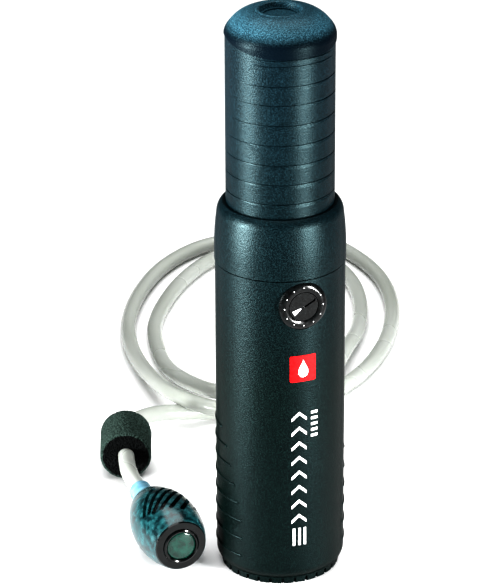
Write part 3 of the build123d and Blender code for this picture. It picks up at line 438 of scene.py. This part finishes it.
# the straight run of hose that the float sits on
FLOAT_START, FLOAT_END = HOSE_POINTS[30:32]
FLOAT_R = 12.5 * MM
FLOAT_L = 27 * MM
FLOAT_BORE_R = 4.3 * MM
FLOAT_ROUND = 1.6 * MM
PIT_DEPTH = 0.55 * MM
PIT_SCALE = 900.0
PIT_FINER = 2.1
PIT_FINER_SHARE = 0.6
FLOAT_SIDE_STEPS = 46
FLOAT_RIM_STEPS = 6
FLOAT_FACE_STEPS = 12
FLOAT_AROUND = 150


def rim_point(step, end):
    """One point of the float's rounded rim, at its far end (1) or near end (-1)."""
    turn = math.pi / 2 * step / FLOAT_RIM_STEPS
    radius = FLOAT_R - FLOAT_ROUND * (1 - math.cos(turn))
    return radius, end * (FLOAT_L / 2 - FLOAT_ROUND * (1 - math.sin(turn)))


def float_profile():
    """(radius, distance along) points around the float's cut section, evenly spaced."""
    half = FLOAT_L / 2
    face = FLOAT_R - FLOAT_ROUND - FLOAT_BORE_R
    points = []
    for i in range(FLOAT_SIDE_STEPS + 1):
        along = -half + FLOAT_ROUND + (FLOAT_L - 2 * FLOAT_ROUND) * i / FLOAT_SIDE_STEPS
        points.append((FLOAT_R, along))
    for i in range(1, FLOAT_RIM_STEPS):
        points.append(rim_point(i, 1))
    for i in range(FLOAT_FACE_STEPS + 1):
        points.append((FLOAT_R - FLOAT_ROUND - face * i / FLOAT_FACE_STEPS, half))
    points.append((FLOAT_BORE_R, 0.0))
    for i in range(FLOAT_FACE_STEPS + 1):
        points.append((FLOAT_BORE_R + face * i / FLOAT_FACE_STEPS, -half))
    for i in range(1, FLOAT_RIM_STEPS):
        points.append(rim_point(FLOAT_RIM_STEPS - i, -1))
    return points


def make_float():
    """Foam cylinder with rounded rims and a pitted open-cell skin."""
    low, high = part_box("foam_float")
    centre = (low + high) / 2
    heading = (FLOAT_END - FLOAT_START).normalized()
    up = Vector((0, 0, 1))
    side = heading.cross(up).normalized()
    profile = float_profile()
    vertices = []
    for i in range(FLOAT_AROUND):
        turn = 2 * math.pi * i / FLOAT_AROUND
        outward = side * math.cos(turn) + up * math.sin(turn)
        for radius, along in profile:
            place = centre + heading * along + outward * radius
            if radius > FLOAT_BORE_R:
                pit = noise.noise(place * PIT_SCALE)
                pit += PIT_FINER_SHARE * noise.noise(place * PIT_SCALE * PIT_FINER)
                inward = (outward * (radius / FLOAT_R) + heading * (along / FLOAT_L)).normalized()
                place = place - inward * PIT_DEPTH * max(0.0, pit)
            vertices.append(place)
    count = len(profile)
    faces, painted_shade_faces = [], []
    for i in range(FLOAT_AROUND):
        for j in range(count):
            a = i * count + j
            b = i * count + (j + 1) % count
            c = ((i + 1) % FLOAT_AROUND) * count + (j + 1) % count
            d = ((i + 1) % FLOAT_AROUND) * count + j
            faces.append((a, d, c, b))
            painted_shade_faces.append(profile[j][0] < FLOAT_R - FLOAT_ROUND / 2)
    mesh = mesh_from("foam_body", vertices, faces, smooth=True)
    foam = add_piece("foam_body", mesh, "float", "foam")
    # the end faces take the painted-shade copy of the foam
    mesh.materials.append(FOAM_END_PAINTED_SHADE)
    for polygon, in_painted_shade in zip(mesh.polygons, painted_shade_faces):
        polygon.material_index = 1 if in_painted_shade else 0
    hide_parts("foam_float")


# ---------------------------------------------------------------- print on the housing

BODY_R = 29.5 * MM
PRINT_LIFT = 0.03 * MM
PRINT_THICK = 0.05 * MM
PATCH_STEPS = 6


def wrapped(x, z):
    """A point of the flat print (x across the front, z up) laid on the round housing."""
    turn = x / BODY_R
    radius = BODY_R + PRINT_LIFT
    return Vector((radius * math.sin(turn), -radius * math.cos(turn), z))


def strip(vertices, faces, corners):
    """Add a four-cornered print patch, divided so that it follows the round housing."""
    steps = PATCH_STEPS
    start = len(vertices)
    a, b, c, d = [Vector(corner) for corner in corners]
    for i in range(steps + 1):
        for j in range(steps + 1):
            u, v = i / steps, j / steps
            flat = a * (1 - u) * (1 - v) + b * u * (1 - v) + c * u * v + d * (1 - u) * v
            vertices.append(wrapped(flat.x, flat.y))
    for i in range(steps):
        for j in range(steps):
            corner = start + i * (steps + 1) + j
            faces.append((corner, corner + steps + 1, corner + steps + 2, corner + 1))


def print_piece(name, patches):
    """One printed mark made of flat patches, given in millimetres."""
    vertices, faces = [], []
    for corners in patches:
        strip(vertices, faces, [(x * MM, z * MM) for x, z in corners])
    mesh = mesh_from(name, vertices, faces)
    thicken(add_piece(name, mesh, "housing", "badge_mark", PRINT_WHITE), PRINT_THICK)


PRINT_WHITE = varied("print_white", (0.66, 0.67, 0.66), (0.90, 0.90, 0.89), 1300.0, rough=(0.45, 0.6))

# the marks' places and sizes on the flattened front, in millimetres
PRINT_X = -1.75
PRINT_W = 7.1
STROKE_W = 1.15
STROKE_H = STROKE_W * 1.35
CHEVRONS = 8
CHEVRON_LOW = 32.0
CHEVRON_PITCH = 7.4
CHEVRON_RISE = 3.2
BARS = 3
BAR_INSET = 0.6
BAR_PITCH = 2.6
BAR_LOW = 20.6
BAR_HIGH = 29.4
TICKS = 5
TICK_LEFT = 4.0
TICK_RIGHT = 7.4
TICK_LOW = 75.0
TICK_PITCH = 2.9
TICK_H = 1.3


def make_print():
    """A generic flow mark: upward chevrons over three plain bars, and a small row of ticks beside it."""
    half = PRINT_W / 2
    for index in range(CHEVRONS):
        z = CHEVRON_LOW + CHEVRON_PITCH * index
        left = [(PRINT_X - half, z), (PRINT_X, z + CHEVRON_RISE),
                (PRINT_X, z + CHEVRON_RISE + STROKE_H), (PRINT_X - half, z + STROKE_H)]
        right = [(2 * PRINT_X - x, height) for x, height in reversed(left)]
        print_piece(f"flow_mark_{index + 1}", [left, right])
    bars = []
    for index in range(BARS):
        x = PRINT_X - half + BAR_INSET + index * BAR_PITCH
        bars.append([(x, BAR_LOW), (x + STROKE_W, BAR_LOW), (x + STROKE_W, BAR_HIGH), (x, BAR_HIGH)])
    print_piece("flow_bars", bars)
    ticks = []
    for index in range(TICKS):
        z = TICK_LOW + TICK_PITCH * index
        ticks.append([(TICK_LEFT, z), (TICK_RIGHT, z), (TICK_RIGHT, z + TICK_H), (TICK_LEFT, z + TICK_H)])
    print_piece("small_ticks", ticks)


# ---------------------------------------------------------------- dial marks and the strainer's lens


def domed_disc(name, centre, radius, rise, around, rings):
    """A shallow dome facing the front. centre is the middle of its edge."""
    vertices = [(centre.x, centre.y - rise, centre.z)]
    for ring in range(1, rings + 1):
        share = ring / rings
        for i in range(around):
            turn = 2 * math.pi * i / around
            vertices.append((centre.x + radius * share * math.cos(turn), centre.y - rise * (1 - share ** 2),
                             centre.z + radius * share * math.sin(turn)))
    faces = [(0, 1 + i, 1 + (i + 1) % around) for i in range(around)]
    for ring in range(rings - 1):
        start = 1 + ring * around
        for i in range(around):
            j = (i + 1) % around
            faces.append((start + i, start + around + i, start + around + j, start + j))
    return mesh_from(name, vertices, faces, smooth=True)


def thicken(piece, thickness):
    """Give a skin its thickness, half to each side."""
    skin = piece.modifiers.new("skin", "SOLIDIFY")
    skin.thickness = thickness
    skin.offset = 0.0


DIAL_Z = 140.5 * MM
DIAL_MARK_Y = -30.2 * MM
DIAL_MARK_RING_R = 9.2 * MM
DIAL_MARKS = 12
DIAL_MARK_R = 0.28 * MM
DIAL_MARK_RISE = 0.1 * MM
DIAL_MARK_THICK = 0.06 * MM
DIAL_MARK_AROUND = 20
DIAL_MARK_RINGS = 3


def make_dial_marks():
    """White paint in the twelve small pits of the dial's ring."""
    for index in range(DIAL_MARKS):
        turn = 2 * math.pi * index / DIAL_MARKS
        centre = Vector((DIAL_MARK_RING_R * math.cos(turn), DIAL_MARK_Y,
                         DIAL_Z + DIAL_MARK_RING_R * math.sin(turn)))
        name = f"dial_dot_{index + 1}"
        mesh = domed_disc(name, centre, DIAL_MARK_R, DIAL_MARK_RISE, DIAL_MARK_AROUND, DIAL_MARK_RINGS)
        thicken(add_piece(name, mesh, "housing", "dial_mark"), DIAL_MARK_THICK)


LENS_CENTRE = Vector((-50, -3.28, 16)) * MM
LENS_R = 6.9 * MM
LENS_RISE = 0.88 * MM
LENS_THICK = 0.1 * MM
LENS_AROUND = 64
LENS_RINGS = 10
LENS_GREEN = varied("lens_green", (0.001, 0.010, 0.007), (0.005, 0.050, 0.035), 260.0, rough=(0.08, 0.18),
                    stops=(0.3, 0.75))
CAP_BLACK = varied("cap_gloss", (0.0008, 0.001, 0.001), (0.002, 0.003, 0.003), 300.0, rough=(0.08, 0.16),
                   Specular_IOR_Level=0.3)
for node_name in ("strainer_ring", "strainer_cap"):
    NODES[node_name].data.materials[0] = CAP_BLACK


def make_lens():
    """A domed tinted disc over the middle of the strainer's cap."""
    mesh = domed_disc("cap_lens", LENS_CENTRE, LENS_R, LENS_RISE, LENS_AROUND, LENS_RINGS)
    thicken(add_piece("cap_lens", mesh, "strainer_end", "strainer", LENS_GREEN), LENS_THICK)


make_hose()
make_float()
make_lens()
make_print()
make_dial_marks()

# ---------------------------------------------------------------- floor, light and camera

FLOOR_SIZE = 6.0


def make_floor():
    """A plain pale floor, faintly mottled."""
    half = FLOOR_SIZE / 2
    corners = [(-half, -half, 0), (half, -half, 0), (half, half, 0), (-half, half, 0)]
    floor_mesh = mesh_from("floor", corners, [(0, 1, 2, 3)])
    floor = bpy.data.objects.new("floor", floor_mesh)
    bpy.context.scene.collection.objects.link(floor)
    pale = varied("floor_pale", (0.90, 0.90, 0.90), (0.93, 0.93, 0.93), 6.0, rough=(0.7, 0.8))
    floor_mesh.materials.append(pale)


def area_light(name, place, target, size, power, beam=180):
    """A soft rectangular light aimed at a point. beam is its spread in degrees."""
    data = bpy.data.lights.new(name, "AREA")
    data.shape = "RECTANGLE"
    data.size, data.size_y = size
    data.energy = power
    data.spread = math.radians(beam)
    light = bpy.data.objects.new(name, data)
    light.location = place
    light.rotation_euler = (Vector(target) - Vector(place)).to_track_quat("-Z", "Y").to_euler()
    bpy.context.scene.collection.objects.link(light)


CAMERA_TURN = math.radians(-20.5)
CAMERA_TILT = math.radians(24.06)
CAMERA_DISTANCE = 1.5925
CAMERA_TARGET = Vector((0, 0, 0.13275))
CAMERA_LENS = 216.5
CAMERA_SHIFT = (-0.0516, 0.0084)
CAMERA_SENSOR = 36
CAMERA_CLIP = (0.05, 20)


def around(turn_degrees, height, distance):
    """A place around the filter, at an angle from the camera's direction, positive to the right."""
    turn = CAMERA_TURN + math.radians(turn_degrees)
    return (distance * math.sin(turn), -distance * math.cos(turn), height)


# each side light: degrees from the camera, height, height it aims at, size, power, beam
SIDE_DISTANCE = 0.62
SIDE_LIGHTS = {
    "key_left": (-66, 0.2, 0.2, (0.10, 0.38), 2.3, 46),
    "fill_right": (50, 0.13, 0.12, (0.06, 0.30), 2.1, 70),
}
OVERHEAD_PLACE = (0.05, 0.25, 1.5)
OVERHEAD_TARGET = (0, 0.15, 0)
OVERHEAD_SIZE = (1.6, 1.6)
OVERHEAD_POWER = 28.0
WORLD_STRENGTH = 0.10


def make_lights():
    """Soft strips left and right of the camera and a soft box overhead."""
    for name, (turn, height, aim, size, power, beam) in SIDE_LIGHTS.items():
        area_light(name, around(turn, height, SIDE_DISTANCE), (0, 0, aim), size, power, beam)
    area_light("overhead", OVERHEAD_PLACE, OVERHEAD_TARGET, OVERHEAD_SIZE, OVERHEAD_POWER)
    world = bpy.data.worlds.new("studio")
    bpy.context.scene.world = world
    world.use_nodes = True
    background = next(node for node in world.node_tree.nodes if node.type == "BACKGROUND")
    background.inputs["Color"].default_value = (1, 1, 1, 1)
    background.inputs["Strength"].default_value = WORLD_STRENGTH


def make_camera():
    """The camera, turned to the left of the dial and looking down at the filter."""
    data = bpy.data.cameras.new("camera")
    data.sensor_width = CAMERA_SENSOR
    data.lens = CAMERA_LENS
    data.shift_x, data.shift_y = CAMERA_SHIFT
    data.clip_start, data.clip_end = CAMERA_CLIP
    back = Vector((math.sin(CAMERA_TURN) * math.cos(CAMERA_TILT),
                   -math.cos(CAMERA_TURN) * math.cos(CAMERA_TILT),
                   math.sin(CAMERA_TILT)))
    camera = bpy.data.objects.new("camera", data)
    camera.location = CAMERA_TARGET + back * CAMERA_DISTANCE
    camera.rotation_euler = back.to_track_quat("Z", "Y").to_euler()
    bpy.context.scene.collection.objects.link(camera)
    bpy.context.scene.camera = camera


make_floor()
make_lights()
make_camera()

# plain colours with strong contrast, as in a product picture
bpy.context.scene.view_settings.view_transform = "Standard"
bpy.context.scene.view_settings.look = "High Contrast"
